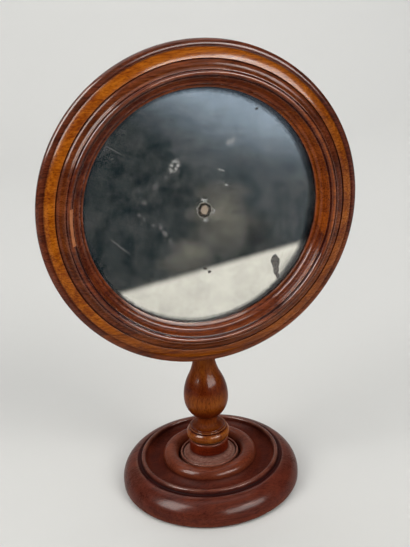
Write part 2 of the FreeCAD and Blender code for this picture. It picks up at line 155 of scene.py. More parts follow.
def spread(rows, columns):
    """The radius and height of every point of a grid, and equal angles once round, one to a column."""
    radius, height = (np.repeat(rows[:, k, None], columns, 1) for k in (0, 1))
    return radius, height, np.linspace(0, 2 * np.pi, columns, endpoint=False)[None, :]


quarters = place_upright(*spread(np.array([[10.0, 0.0]]), 4))[0]
print("four places 10 mm from the stem's axis:", quarters.round(1).tolist())


# %% A mesh from a grid
def object_named(name, data):
    """A new object of the scene that holds a mesh, a lamp or a camera."""
    made = bpy.data.objects.new(name, data)
    bpy.context.scene.collection.objects.link(made)
    return made


def skin(name, grid, closed, attributes, closed_round=True):
    """A mesh from a grid of points in mm: rows along the outline, columns round the axis. Each face
    joins a point to the next in its row and column. An open outline that ends near the axis gets a fan
    of triangles there. Faces are turned over if they enclose a negative volume."""
    rows, columns = grid.shape[:2]
    number = np.arange(rows * columns).reshape(rows, columns)
    down, beside = np.roll(number, -1, 0), np.roll(number, -1, 1)
    faces = np.stack([number, beside, np.roll(down, -1, 1), down], -1)
    faces = faces[:None if closed else -1, :None if closed_round else -1].reshape(-1, 4)
    points = grid.reshape(-1, 3)
    a, b, c, d = (points[faces[:, k]] for k in range(4))
    volume = (np.cross(b - a, c - a) * a).sum() + (np.cross(c - a, d - a) * a).sum()
    faces = faces.tolist()
    if not closed:
        poles = [np.roll(number[0], -1), number[0]], [number[-1], np.roll(number[-1], -1)]
        for k, (left, right) in enumerate(poles):
            tip = np.full(columns, len(points) + k)
            faces += np.stack([left, right, tip], 1).tolist()
        points = np.concatenate([points, grid[[0, -1]].mean(1)])
    if volume < 0:
        faces = [face[::-1] for face in faces]
    mesh = bpy.data.meshes.new(name)
    mesh.from_pydata(points * MM, [], faces)
    mesh.polygons.foreach_set("use_smooth", np.ones(len(faces), bool))
    for label, values in attributes.items():
        layer = mesh.attributes.new(label, "FLOAT", "POINT")
        ends = [] if closed else [values[0, 0], values[-1, 0]]
        layer.data.foreach_set("value", np.append(values.ravel(), ends).astype(np.float32))
    mesh.validate()
    return object_named(name, mesh)


# %% Turned pieces
# The pale trace carries bleaching and painted light; hollow and sheltered also carry painted shade.
TRACES = ("bleached_and_lit", "hollow", "arris", "sheltered", "run")


def traces_of(rows, columns):
    """The outline's own values, repeated round the axis."""
    return {name: np.repeat(rows[:, 2 + k, None], columns, 1) for k, name in enumerate(TRACES)}


def turned(name, rows, place, columns, closed=True, traces=None):
    """Carries an outline once round its axis, with its own traces unless others are given."""
    return skin(name, place(*spread(rows, columns)), closed, traces or traces_of(rows, columns))


def dressed(piece, body, slot, *nodes):
    """Puts a piece on its body and says which pieces of the model it stands for. Its slot is not used."""
    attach(piece, body)
    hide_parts(*nodes)
    print(f"{piece.name}: {len(piece.data.polygons)} faces, on {body}, stands for {', '.join(nodes)}")
    return piece


print("every turned piece carries:", ", ".join(TRACES))


# %% [markdown]
# ## The base
#
# A disc as wide as a saucer: a rounded edge (an ovolo), a thin bead for a rim, a dished ring to lay
# pins in, and a fat ring round the socket. It could be stacked up from rings, but a turner cut it in
# one piece, so one outline goes all the way.

# %% Base disc
base_radius = 59.4
base_low = 1.0  # the baize's thickness
ring_inner = 21.1
seat = 14.0  # where the socket sits

base_stops = [
    (9.0, base_low, 0, 0.2), (base_radius - 1.0, base_low, 0, 0.2),
    (base_radius, base_low + 1.0, -0.29, 0.3), (base_radius, 4.6, 0, 0.5),
    (49.6, 16.3, -2.4, 0.35), (48.9, 16.2, -0.1, 0.1), (46.3, 16.0, 0.5, -0.2), (46.1, 17.7, 0, 0.1),
    (43.5, 17.7, -1.3, 0.35), (43.5, 16.0, 0, 0.2), (31.4, 16.0, 4.2, 0.5), (31.4, 16.75, 0, 0.2),
    (ring_inner, 16.75, -5.15, 0.75), (ring_inner, seat, 0, 0.1),
    (10.05, seat, 0, 0.1), (10.05, 7.15, 0, 0.1), (9.0, 7.15, 0, 0.1),
]
base = turned("base_turned", outline(base_stops, 150), place_upright, 480)
dressed(base, "base", "base_mahogany", "base_disc")

# %% [markdown]
# ## Baize
#
# Green cloth under the base keeps it from scratching the table. A plain circle would do from above, but
# the cloth has a thickness and a soft edge, so it is turned too.

# %% Baize under the base
baize_stops = [
    (1.0, 0.0, 0, 0), (56.2, 0.0, 0, 0), (56.4, 0.5, -0.1, 0), (56.2, base_low, -0.1, 0),
    (1.0, base_low, 0, 0),
]
baize_rows = outline(baize_stops, 40, wear=0.08, closed=False)
baize = turned("baize_under_base", baize_rows, place_upright, 240, closed=False)
dressed(baize, "base", "baize", "baize_pad")

# %% [markdown]
# ## The socket
#
# A short drum on a sloping foot, let into the base, with a leather ring on top that gives the turning
# stem a little drag. It could be part of the base, but its wood is redder and its foot has lost its
# polish, so it is a piece of its own.

# %% Socket and leather ring
socket_stops = [
    (2.7, 7.2, 0, 0.1), (10.0, 7.2, 0, 0.1), (10.0, seat, 0, 0.1), (19.4, seat, 0, 0.1),
    (19.4, 18.6, 0, 0.5), (18.2, 18.6, -0.6, 0.3), (18.2, 18.0, 0, 0.0), (17.7, 18.0, 0, 0.0),
    (16.33, 18.74, 0.025, 0.9), (15.09, 19.64, 0.025, 0.5), (13.98, 20.69, 0.025, 1.0),
    (13.0, 21.9, 0.025, 0.6), (13.0, 29.4, 0, 0.0), (12.5, 29.9, 0, 0.1), (7.05, 29.9, 0, 0.1),
    (7.05, 11.0, 0, 0.1), (2.7, 11.0, 0, 0.1),
]
socket = turned("socket_turned", outline(socket_stops, 110, wear=0.1), place_upright, 300)
dressed(socket, "base", "socket_mahogany", "stem_socket")
leather_stops = [(7.3, 29.9, 0, 0), (12.2, 29.9, 0, 0), (12.2, 30.8, -0.12, 0), (7.3, 30.8, 0, 0)]
leather_rows = outline(leather_stops, 36, wear=0.06)
leather_ring = turned("swivel_leather_ring", leather_rows, place_upright, 200)
dressed(leather_ring, "base", "leather", "swivel_leather")


# %% [markdown]
# ## The stem
#
# The stem was turned from one stick: a collar, a small neck, a pear-shaped belly and a long slim column
# that goes up behind the mirror, where it is sawn to a flat tongue with a round end. A boolean could
# saw it; here the grid's own points are held between the tongue's cheeks, which keeps the mesh even.

# %% Outline of the stem
collar_low = 30.85
collar_top = collar_low + 6.6
fillet_low = collar_top + 0.5
scotia_low = fillet_low + 1.5
neck_low = scotia_low + 4.2
neck_top = neck_low + 4.0
vase_below, vase_above = 13.2, 31.2  # heights of the vase below and above its belly
belly_height = neck_top + vase_below
column_radius = 6.3
shoulder = pivot_height - 11.5
crown = pivot_height + column_radius


def vase_stops():
    """The vase from its foot to the column. Below the belly the radius follows an ellipse, widest at the
    belly. Above it two equal arcs meet half way, one turned in and one turned out, each upright at its
    far end: an arc's radius is (half height squared plus half narrowing squared) / narrowing. The vase
    is toned in bands by height: dark on its underside, which is painted shade, and paler at the belly
    and above, which is partly painted light."""
    foot, widest, slim = 8.7, 14.7, 6.9
    tall = vase_below / np.sqrt(1 - (foot / widest) ** 2)
    low = np.linspace(-vase_below, 0, 50)
    half, inset = vase_above / 2, (widest - slim) / 2
    arc = (half ** 2 + inset ** 2) / (2 * inset)
    high = np.linspace(0, vase_above, 90)[1:]
    turned_in = widest - arc + np.sqrt(arc ** 2 - high ** 2)
    turned_out = slim + arc - np.sqrt(arc ** 2 - (vase_above - high) ** 2)
    belly = widest * np.sqrt(1 - (low / tall) ** 2)
    radius = np.append(belly, np.where(high < half, turned_in, turned_out))
    height = np.append(low, high)
    # Tones by height: painted shade under the belly, paler bands partly painted light.
    band_heights = (-13.2, -8, -4, 0, 4, 8, 12, 19, 31)
    band_tones = (0.0, 0.05, 0.5, 0.75, 0.5, 0.05, 0.15, 0.65, 0.6)
    tone = np.interp(height, band_heights, band_tones)
    return list(zip(radius, belly_height + height, 0 * height, tone))


stem_stops = [
    (1.0, 11.3, 0, 0.1), (7.0, 11.3, 0, 0.1), (7.0, collar_low, 0, 0.1), (12.6, collar_low, 0, 0.6),
    # -1.4 and -1.2 paint the quirk over the collar and the step under the neck dark: wax and painted shade.
    (12.6, collar_top, -1.7, 1.0), (12.0, collar_top, 0, -1.4), (12.0, fillet_low, 0, -1.4),
    (12.4, fillet_low, 0, 0.6), (12.4, fillet_low + 0.8, 0, 0.9), (11.3, fillet_low + 0.8, 0, 0.6),
    (11.3, scotia_low, 0, 0.7), (10.7, scotia_low, 0, -1.2), (6.8, neck_low, 1.3, 0.6),
    (6.8, neck_top, 0, 0.3), *vase_stops(),
    (column_radius, shoulder, 0, 0.75), (column_radius, crown, 0, 0.4), (1.0, crown, 0, 0.4),
]
stem_rows = outline(stem_stops, 330, fade=0.6, closed=False)
print(f"the stem is {np.ptp(stem_rows[:, 1]):.1f} mm long and {2 * stem_rows[:, 0].max():.1f} mm thick")

# %% Stem with its tongue
tongue_half = 3.5
saw_slope = 0.25  # mm of height over which the shoulder is cut
free = column_radius * 3  # a bound too wide to hold anything


def place_stem(radius, height, angle):
    """Round the stem's axis, but above the shoulder x is held between the tongue's two cheeks, and
    above the pivot y is held inside a half circle about the pivot's axis."""
    grid = place_upright(radius, height, angle)
    above = np.clip((height - shoulder) / saw_slope, 0, 1)
    cheek = free * (1 - above) + tongue_half * above
    over = np.clip(height - pivot_height, 0, column_radius)
    edge = np.where(over > 0, np.sqrt(column_radius ** 2 - over ** 2), free)
    grid[..., 0] = np.clip(grid[..., 0], -cheek, cheek)
    grid[..., 1] = np.clip(grid[..., 1], -edge, edge)
    return grid


stem = turned("stem_turned", stem_rows, place_stem, 240, closed=False)
dressed(stem, "stem", "stem_mahogany", "stem")


# %% [markdown]
# ## The mirror's frame
#
# The frame was turned in two rings, glued one inside the other. The outer one has a round nose, a broad
# band that faces the light and has gone pale, and an ogee. Each was glued up from segments, whose grain
# takes the light differently, and whose tones here also carry painted light and shade round the ring.
# An image could paint that, but each point of a grid already knows its segment by its angle.

# %% Rings glued up from segments
back_face = 13.4  # distances in front of the pivot's axis
board_front = 18.4
foil_front = 19.6
glass_front = 22.2
joint_radius = 79.3  # where the two rings meet
ring_columns = 720
joint_dark, joint_half = 0.5, 0.3  # how dark a glue line is, and half its width in degrees


def glued_up(rows, columns, joints, slant):
    """Traces of a ring that is glued up from segments. A joint gives an angle in degrees, the share of
    the pale tone that the segment after it shows, and how much paler it is all over. These shares and
    lifts give the segments their own tones and also paint light and shade round the ring. The joint is
    a thin dark line, which slants by so many degrees for each millimetre of radius."""
    traces = traces_of(rows, columns)
    degrees = np.degrees(spread(rows, columns)[2]) + slant * (rows[:, 0, None] - joint_radius)
    starts, shares, lifts = np.array(joints).T
    segment = np.searchsorted(starts, degrees % 360, side="right") - 1
    traces["bleached_and_lit"] = traces["bleached_and_lit"] * shares[segment] + lifts[segment]
    traces["hollow"] = traces["hollow"] * (1 - 2 * lifts[segment])
    off = np.abs((degrees[..., None] - starts + 180) % 360 - 180).min(-1)
    traces["hollow"] = np.maximum(traces["hollow"], joint_dark * (off < joint_half))
    return traces


print(f"the two rings meet {joint_radius} mm from the mirror's middle")

# %% Outer ring
frame_radius = 94.98  # a hair under the model's, which is made of short chords
pocket_radius = 74.9
rebate_radius = 85.9

frame_stops = [
    (rebate_radius, back_face, 0, 0.1), (90.6, back_face, 0, 0.1), (frame_radius, 23.4, -1.6, 0.1),
    (91.1, 25.2, -0.7, 0.1), (90.4, 25.8, 0, 0.5), (85.1, 28.1, -0.3, 1.0), (85.0, 27.4, 0, 0.4),
    (84.7, 27.4, 0, 0.0), (82.3, 29.2, -0.3, 0.2), (80.0, 31.0, 0.3, 0.25),
    (joint_radius + 0.2, 31.2, 0, 0.1), (joint_radius, 30.4, 0, 0.1), (joint_radius, glass_front, 0, 0.1),
    (pocket_radius, glass_front, 0, 0.1), (pocket_radius, board_front, 0, 0.1),
    (rebate_radius, board_front, 0, 0.1),
]
# Each segment's share and lift hold its own tone and also painted light and shade.
frame_joints = [(38.7, 0.85, 0), (80, 1.15, 0), (197.5, 1.05, 0), (236, 0.45, 0.2), (355.5, 0.75, 0)]
frame_rows = outline(frame_stops, 136, wear=0.1)
frame_traces = glued_up(frame_rows, ring_columns, frame_joints, slant=0.8)
outer_ring = turned("frame_turned", frame_rows, place_facing, ring_columns, traces=frame_traces)
dressed(outer_ring, "head", "frame_mahogany", "frame_ring")

# %% [markdown]
# ## The sight ring and its slip
#
# The inner ring has a crest, a hollow and a small bead that frames the glass. At the left a short pale
# strip is let into the crest, an old repair. A boolean could cut its seat, but the ring is a grid, so
# the points under the strip are simply lowered to its foot.

# %% Sight ring
sight_radius = 69.5
crest_outer = joint_radius - 0.05
crest_inner = 76.4
crest_edge = 30.9
slip_middle, slip_span = 178.5, 15.5  # degrees
slip_inner, slip_outer, slip_foot = 75.8, 77.5, 29.0

sight_stops = [
    (sight_radius, glass_front, 0, 0.1), (crest_outer, glass_front, 0, 0.1),
    (crest_outer, crest_edge - 0.4, 0, 0.1), (crest_outer - 0.2, crest_edge, 0, 0.0),
    # The 0.7 along the crest's top is a painted highlight, a thin pale line.
    (78.2, 31.77, -0.14, 0.1), (77.3, 31.77, -0.08, 0.7), (crest_inner, crest_edge, -0.14, 0.1),
    # The -0.9 at the crest's inner foot paints its quirk dark: dark wax and painted shade.
    (crest_inner - 0.15, crest_edge - 0.9, 0, -0.9), (crest_inner - 0.9, crest_edge - 1.15, 0, -0.9),
    (73.5, 27.0, 0.35, 0.55), (73.4, 26.75, 0, 0.3), (73.2, 26.7, 0, 0.2), (71.2, 24.6, -0.5, 0.45),
    (71.1, 24.4, 0, 0.3), (70.9, 24.3, 0, 0.3), (sight_radius + 0.3, 23.8, 0, 0.5),
    (sight_radius, 23.6, 0, 0.6),
]
# Right-hand segments are painted paler, as light falling there; upper and left ones darker, as shade.
sight_joints = [
    (22, 1.0, 0.1), (40, 0.6, 0), (110, 0.5, 0), (230, 0.6, 0.05), (338, 1.3, 0.15), (354.5, 1.2, 0.15),
]


def place_let_in(radius, front, angle):
    """Round the mirror's axis, but just inside the slip's outline the crest sinks to the slip's foot."""
    off = np.abs((np.degrees(angle) - slip_middle + 180) % 360 - 180)
    inside = (off < slip_span / 2 - 0.4) & (radius > slip_inner + 0.1) & (radius < slip_outer - 0.1)
    return place_facing(radius, np.where(inside, np.minimum(front, slip_foot), front), angle)


sight_rows = outline(sight_stops, 136, wear=0.08)
sight_traces = glued_up(sight_rows, ring_columns, sight_joints, slant=1.0)
sight_ring = turned("sight_ring_turned", sight_rows, place_let_in, ring_columns, traces=sight_traces)
dressed(sight_ring, "head", "sight_mahogany", "sight_ring")

# %% Let-in slip
slip_stops = [
    (slip_inner, slip_foot, 0, 0.5), (slip_outer, slip_foot, 0, 0.5), (slip_outer, crest_edge + 1.05, 0, 0.5),
    (crest_inner, crest_edge + 0.25, -0.12, 0.8), (slip_inner, crest_edge - 0.5, 0, 0.6),
]


def slip_grid(rows, columns):
    """A short piece of ring, drawn together at both ends: it stands a hair proud of the crest's inner
    half and its ends are the middle of its outline."""
    half = np.radians(slip_span / 2)
    angle = np.radians(slip_middle) + np.linspace(-half, half, columns)[None, :]
    grid = place_facing(*spread(rows, columns)[:2], angle)
    ends = grid.mean(0, keepdims=True) + 0 * grid
    traces = traces_of(rows, columns).items()
    padded = {name: np.pad(values, [(0, 0), (1, 1)], mode="edge") for name, values in traces}
    return np.concatenate([ends[:, :1], grid, ends[:, -1:]], 1), padded


slip_points, slip_traces = slip_grid(outline(slip_stops, 50, wear=0.06), 60)
slip = skin("crest_slip_let_in", slip_points, True, slip_traces, closed_round=False)
dressed(slip, "head", "slip_wood", "crest_slip")

# %% [markdown]
# ## Glass and silvering
#
# A mirror is a sheet of glass with silver on its back. One shiny disc would be quicker, but couldn't
# show dust in front of the silver and bare spots in it. So both are here, each a thin disc, with a hair
# of air where two faces would touch.

# %% Glass plate and silver coat
glass_radius = 74.5
gap = 0.01
foil_back, foil_face = 19.4, 19.58


def plate(name, back, face, wear):
    """A round plate between two distances in front of the pivot's axis, with square edges."""
    stops = [(1.0, back, 0, 0), (glass_radius, back, 0, 0), (glass_radius, face, 0, 0), (1.0, face, 0, 0)]
    return turned(name, outline(stops, 30, wear=wear, closed=False), place_facing, 240, closed=False)


glass = plate("glass_plate", foil_front + gap, glass_front - gap, 0.05)
dressed(glass, "head", "glass", "mirror_glass")
foil = plate("silvering_coat", foil_back, foil_face, 0.02)
dressed(foil, "head", "silvering", "silver_foil")


# %% [markdown]
# ## The back
#
# The back makes the mirror work: a backboard held by small screws, and a knuckle whose two ears take
# the tongue between leather washers. Flat and drilled, these pieces suit no lathe. They could be
# modelled afresh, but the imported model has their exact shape, so copies of it get eased arrises.

# %% Eased copies of the flat pieces
merge_within = 0.002  # mm
sharp = np.radians(40)


def eased_copy(node, name, slot, width):
    """A merged copy of a piece of the mirror's head, with a small bevel on every sharp arris."""
    mesh = frame["nodes"][node].data.copy()
    mesh.name = name
    mesh.materials.clear()
    piece = object_named(name, mesh)
    weld = piece.modifiers.new("weld", "WELD")
    weld.merge_threshold = merge_within * MM
    bevel = piece.modifiers.new("eased arris", "BEVEL")
    bevel.width = width * MM
    bevel.segments = 2
    bevel.limit_method = "ANGLE"
    bevel.angle_limit = sharp
    bevel.harden_normals = True
    mesh.polygons.foreach_set("use_smooth", np.ones(len(mesh.polygons), bool))
    return dressed(piece, "head", slot, node)


board = eased_copy("backboard", "backboard_planed", "backboard_wood", 0.3)
knuckle = eased_copy("knuckle_block", "knuckle_cut", "knuckle_mahogany", 0.5)
nut = eased_copy("pivot_nut", "pivot_nut_square", "brass", 0.2)
pivot_washer = eased_copy("pivot_washer", "pivot_washer_flat", "brass", 0.15)
friction = eased_copy("friction_washers", "friction_washers_cut", "leather", 0.1)
board_screws = eased_copy("backboard_screws", "backboard_screws_slotted", "steel", 0.06)

# %% [markdown]
# ## The thumb screw
#
# A turned brass screw squeezes the knuckle, and its knob is knurled to give fingers a grip. A
# displacement in the material would cost fewer faces but vanish from the exported mesh, so the ridges
# are cut into the grid.

# %% Knurled thumb screw
screw_seat = 11.9
knurl_count = 36
knurl_depth = 0.35
knob_stops = [
    (0.4, -12.55, 0, 0), (2.5, -12.55, 0, 0), (2.5, screw_seat, 0, 0), (4.0, screw_seat, 0, 0),
    (4.0, screw_seat + 2.5, 0.62, 0), (6.6, screw_seat + 2.5, 0, 0), (8.0, screw_seat + 3.9, 0, 1),
    (8.0, screw_seat + 8.1, 0, 1), (6.6, screw_seat + 9.5, 0, 0), (0.4, screw_seat + 10.89, -0.35, 0),
]
knob_rows = outline(knob_stops, 120, wear=0.1, closed=False)


def place_knurled(radius, distance, angle):
    """Round the pivot's axis, which runs along X. Where the outline's third column says rim, the radius
    sinks by a saw-edged wave of the angle."""
    wave = np.abs((angle * knurl_count / np.pi) % 2 - 1)
    ridged = radius - knurl_depth * wave * knob_rows[:, 2, None]
    return np.stack([distance, ridged * np.cos(angle), pivot_height + ridged * np.sin(angle)], -1)


thumb_screw = turned("thumb_screw_knurled", knob_rows, place_knurled, knurl_count * 8, closed=False)
dressed(thumb_screw, "clamp", "brass", "thumb_screw")


# %% [markdown]
# ## Finishes
#
# Every finish is a small graph of nodes. It could be drawn by hand in the shader editor, but a script
# can be read and repeated. One function adds a node and joins it up, by names or in the node's own
# order. Colours are written as they look on a screen, and one function turns them to linear light.

# %% Nodes and colours
times, times_plus = {"operation": "MULTIPLY"}, {"operation": "MULTIPLY_ADD"}
minus, larger = {"operation": "SUBTRACT"}, {"operation": "MAXIMUM"}
held = {"use_clamp": True}  # keeps a sum between nought and one
blend, stain = {"data_type": "RGBA"}, {"data_type": "RGBA", "blend_type": "MULTIPLY"}


def colour(text):
    """Linear red, green, blue and alpha of an sRGB hex colour."""
    values = np.array([int(text[k:k + 2], 16) for k in (1, 3, 5)]) / 255
    linear = np.where(values <= 0.04045, values / 12.92, ((values + 0.055) / 1.055) ** 2.4)
    return (*linear.tolist(), 1.0)


def join(tree, node, inputs):
    """Sets a node's inputs, given by name or in the node's own order. Each is a value, or a node or
    socket to link. In its own order a noise takes place, scale, detail and roughness, a mapping takes
    place, shift, turn and scale, a map range takes a value, the range it has and the range it gets, and
    a mix takes a factor and two colours."""
    ready = [socket for socket in node.inputs if not socket.is_unavailable]
    for name, value in inputs.items() if isinstance(inputs, dict) else enumerate(inputs):
        socket = next(s for k, s in enumerate(ready) if name in (k, s.name))
        if isinstance(value, bpy.types.Node):
            value = next(s for s in value.outputs if not s.is_unavailable)
        if isinstance(value, bpy.types.NodeSocket):
            tree.links.new(value, socket)
        else:
            socket.default_value = value


def add(tree, kind, inputs=(), **settings):
    """Adds one node with its inputs and settings. A ramp's stops are pairs of a place and a colour."""
    node = tree.nodes.new("ShaderNode" + kind)
    for name, value in settings.items():
        if name == "stops":
            for k, (place, shade) in enumerate(value):
                element = node.color_ramp.elements[k] if k < 2 else node.color_ramp.elements.new(place)
                element.position, element.color = place, shade
        else:
            setattr(node, name, value)
    join(tree, node, inputs)
    return node


print("middle grey on a screen is this much light:", round(colour("#808080")[0], 3))


# %% Materials and who wears them
def finish_named(name):
    """An empty material with its shader, ready for nodes."""
    material = bpy.data.materials.new(name)
    material.use_nodes = True
    return material, material.node_tree, material.node_tree.nodes["Principled BSDF"]


def give(material, *pieces):
    """Puts a material on the pieces' slots."""
    for piece in pieces:
        piece.data.materials.clear()
        piece.data.materials.append(material)
    print(f"{material.name}: {len(material.node_tree.nodes)} nodes, on {', '.join(p.name for p in pieces)}")


# %% [markdown]
# ## Mahogany
#
# Old mahogany under wax: fine streaks and short dark pores along the grain, with slow ribbons of tone.
# A photograph of wood would smear on a turned piece. A pattern in space, drawn out along one axis, is
# cut by the surface as a lathe cuts a block, so the grain runs true on every bead.

# %% The wood's own pattern
def wood_noise(tree, place, grain, size_mm, detail, seed):
    """Noise drawn out along the grain. Grain says how many times longer than wide it is along x, y, z."""
    scale = [1 / (size_mm * MM * k) for k in grain]
    offset = (seed, seed * 1.7, seed * 0.6)
    space = add(tree, "Mapping", (place, offset, (0, 0, 0), scale))
    return add(tree, "TexNoise", (space, 1.0, detail, 0.55))


def wood_pattern(tree, axis):
    """Ribbons and streaks mixed into one figure, the pores, and soft clouds of wear. The grain sways by
    up to 7 mm over 45. Pores are drawn twice as wide as real ones, so that they show."""
    straight = add(tree, "TexCoord").outputs["Object"]
    sway = add(tree, "TexNoise", (straight, 1 / (45 * MM), 1.0))
    place = add(tree, "VectorMath", (sway.outputs["Color"], (7 * MM,) * 3, straight), **times_plus)
    along = {k: [k if axis == n else 1 for n in range(3)] for k in (8, 24, 10)}
    ribbon = wood_noise(tree, place, along[8], 10.0, 2.0, 3.1)
    streak = wood_noise(tree, place, along[24], 0.9, 4.0, 7.7)
    pore = wood_noise(tree, place, along[10], 0.42, 1.0, 1.3)
    cloud = wood_noise(tree, straight, (1, 1, 1), 12.0, 4.0, 5.9)
    figure = add(tree, "Mix", (0.55, ribbon, streak), data_type="FLOAT")
    pores = add(tree, "MapRange", (pore, 0.56, 0.7, 0.0, 0.6))
    return figure, pores, cloud


# %% The wood's colour and polish
def wood_colour(tree, wear_and_light_traces, pattern, shades, bleached_and_lit):
    """The figure runs through three shades. Bleached stretches go golden, and so do stretches painted
    paler as painted light. Pores are stained darker, sheltered places are darkened by dust and painted
    shade, hollows hold near-black wax and painted shade, and arrises are rubbed pale in patches, which
    is partly a painted highlight."""
    figure, pores, cloud = pattern
    low, middle, high = (colour(shade) for shade in shades)
    pale, palest = (colour(shade) for shade in bleached_and_lit)
    body = add(tree, "ValToRGB", (figure,), stops=[(0.37, low), (0.63, high), (0.5, middle)])
    golden = add(tree, "ValToRGB", (figure,), stops=[(0.39, pale), (0.61, palest)])
    patchy = add(tree, "MapRange", (cloud, 0.3, 0.7, 1.15, 0.85))
    # Golden where the wood is bleached, and where light is painted on.
    faded_and_lit = add(tree, "Math", (wear_and_light_traces["bleached_and_lit"], patchy), **times, **held)
    wood = add(tree, "Mix", (faded_and_lit, body, golden), **blend)
    wood = add(tree, "Mix", (pores, wood, colour("#6a3420")), **stain)
    # Sheltered places are darkened in patches: dust, and painted shade in recesses.
    dirt = add(tree, "MapRange", (cloud, 0.4, 0.65, 0.55, 0.9))
    dust_and_recess_shade = add(tree, "Math", (wear_and_light_traces["sheltered"], dirt), **times)
    wood = add(tree, "Mix", (dust_and_recess_shade, wood, colour("#e0b4ac")), **stain)
    # Hollows and glue lines go near-black: dark wax and dark joints, and painted shade in creases.
    wax = add(tree, "Math", (wear_and_light_traces["hollow"], 0.85), **times)
    wood = add(tree, "Mix", (wax, wood, colour("#140503")), **blend)
    # Arrises are paled in patches: rubbed wear, and partly a painted highlight.
    rub_and_highlight_patches = add(tree, "MapRange", (cloud, 0.35, 0.65, 0.2, 0.03))
    rubbed_and_highlit = add(tree, "Math", (wear_and_light_traces["arris"], rub_and_highlight_patches), **times)
    return add(tree, "Mix", (rubbed_and_highlit, wood, colour("#b07a60")), **blend)


def wood_polish(tree, wear_and_light_traces, pattern, gloss):
    """What the shader's gloss needs: sheltered places are dull, and the wax coat shines most on arrises.
    The lathe left faint rings 0.6 mm apart, and pores dip below the surface."""
    figure, pores, _ = pattern
    level, matt, coat, coat_matt = gloss
    rough = add(tree, "MapRange", (figure, 0.3, 0.7, matt - 0.04, matt + 0.06))
    rough = add(tree, "Math", (wear_and_light_traces["sheltered"], 0.4, rough), **times_plus)
    shine = add(tree, "Math", (wear_and_light_traces["arris"], 3.5 * coat, coat), **times_plus)
    shine = add(tree, "Math", (wear_and_light_traces["sheltered"], -4.0 * coat, shine), **times_plus, **held)
    rings = add(tree, "Math", (wear_and_light_traces["run"], 1 / 0.6), **times)
    rings = add(tree, "TexNoise", (rings, 1.0, 2.0), noise_dimensions="1D")
    height = add(tree, "Math", (pores, -1.2, rings), **times_plus)
    bump = add(tree, "Bump", {"Strength": 0.12, "Distance": 0.2 * MM, "Height": height})
    return {"Roughness": rough, "Coat Weight": shine, "Normal": bump,
            "Specular IOR Level": level, "Coat Roughness": coat_matt}


# %% Seven woods
def mahogany(name, shades, bleached_and_lit, axis, gloss):
    """Mahogany under an old wax polish, with wear, painted light and painted shade as the piece's own
    traces say, if it has any.
    """
    material, tree, shader = finish_named(name)
    wear_and_light_traces = {k: add(tree, "Attribute", attribute_name=k).outputs["Fac"] for k in TRACES}
    pattern = wood_pattern(tree, axis)
    wood = wood_colour(tree, wear_and_light_traces, pattern, shades, bleached_and_lit)
    join(tree, shader, {"Base Color": wood, **wood_polish(tree, wear_and_light_traces, pattern, gloss)})
    return material


X, Z = 0, 2  # the way the grain runs
# Each gloss is the specular level, the roughness, the weight of the wax coat and its roughness.
satin, sheen = (0.03, 0.28, 0.075, 0.17), (0.05, 0.25, 0.13, 0.1)
dull, handled = (0.04, 0.36, 0.03, 0.1), (0.03, 0.3, 0.12, 0.1)
woods = [
    # Dark burgundy with soft broad glints: turned, stained and waxed.
    (base, "mahogany_base_waxed", ("#2b0e0c", "#3f1715", "#4a1c19"), ("#5c2616", "#7a381e"), X, satin),
    # A redder drum on a foot that has gone grey and dull.
    (socket, "mahogany_socket_waxed", ("#4c1404", "#641e08", "#76280c"), ("#785346", "#a07d70"), X, dull),
    # Warm brown with upright grain, polished by hands.
    (stem, "mahogany_stem_waxed", ("#3c0c00", "#501500", "#601e00"), ("#6e2f05", "#925014"), Z, handled),
    # Dark red with a golden band, under a crisp wax.
    (outer_ring, "mahogany_frame_waxed", ("#260b07", "#461812", "#60241a"), ("#743000", "#ae600a"), X, sheen),
    # Redder than the outer ring, and less faded.
    (sight_ring, "mahogany_sight_ring_waxed", ("#2a0804", "#461309", "#601f0d"), ("#662602", "#a25009"),
     X, sheen),
    # Cut and oiled rather than polished: dark and even.
    (knuckle, "mahogany_knuckle_waxed", ("#30120a", "#4e1e10", "#662a14"), ("#6a3018", "#804020"), Z, dull),
    # A paler wood, let in and never stained to match.
    (slip, "slip_pale_wood", ("#8a4a30", "#a4623e", "#b87450"), ("#a8683e", "#c4845a"), Z, dull),
]
for piece, *finish in woods:
    give(mahogany(*finish), piece)


# %% [markdown]
# ## The mirror plate
#
# Age shows in two layers. On the glass lies a thin veil of dust with wiping marks, paler than the dark
# room that the mirror looks at. In the silver, damp has eaten spots, where the brown backing shows. An
# image could hold all this, but drawn marks stay sharp at any size: each is an ellipse, whose edge a
# little noise makes ragged.

# %% Marks on a plate
def ragged(tree, flat, amount, size):
    """Places in mm, pushed about by noise of that size so that drawn marks get ragged edges."""
    noise = add(tree, "TexNoise", (flat, 1 / size, 3.0))
    push = add(tree, "VectorMath", (noise.outputs["Color"], (0.5, 0.5, 0.5)), **minus)
    return add(tree, "VectorMath", (push, (amount * 2,) * 3, flat), **times_plus)


def plate_place(tree, amount, size):
    """Places on the plate in mm from its middle, x to the right and y up, with ragged edges."""
    place = add(tree, "TexCoord").outputs["Object"]
    quarter_turn = (-np.pi / 2, 0, 0)
    flat = add(tree, "Mapping", (place, (0, -pivot_height, 0), quarter_turn, (1 / MM,) * 3))
    return ragged(tree, flat, amount, size)


def marks(tree, place, spots, soft=(0.7, 1.2)):
    """One where any spot is, nought elsewhere. A spot is x, y, half length, half width in mm and a turn
    in degrees: its distance, measured in its own half sizes, is under one. Soft says between which
    distances a spot fades out."""
    total = None
    for x, y, long, wide, turn in spots:
        turned_by = (0, 0, np.radians(turn))
        own = add(tree, "Mapping", (place, (x, y, 0), turned_by, (long, wide, 1e4)), vector_type="TEXTURE")
        far = add(tree, "VectorMath", (own,), operation="LENGTH")
        spot = add(tree, "MapRange", (far, *soft, 1.0, 0.0))
        total = add(tree, "Math", (total, spot), **larger) if total else spot
    return total


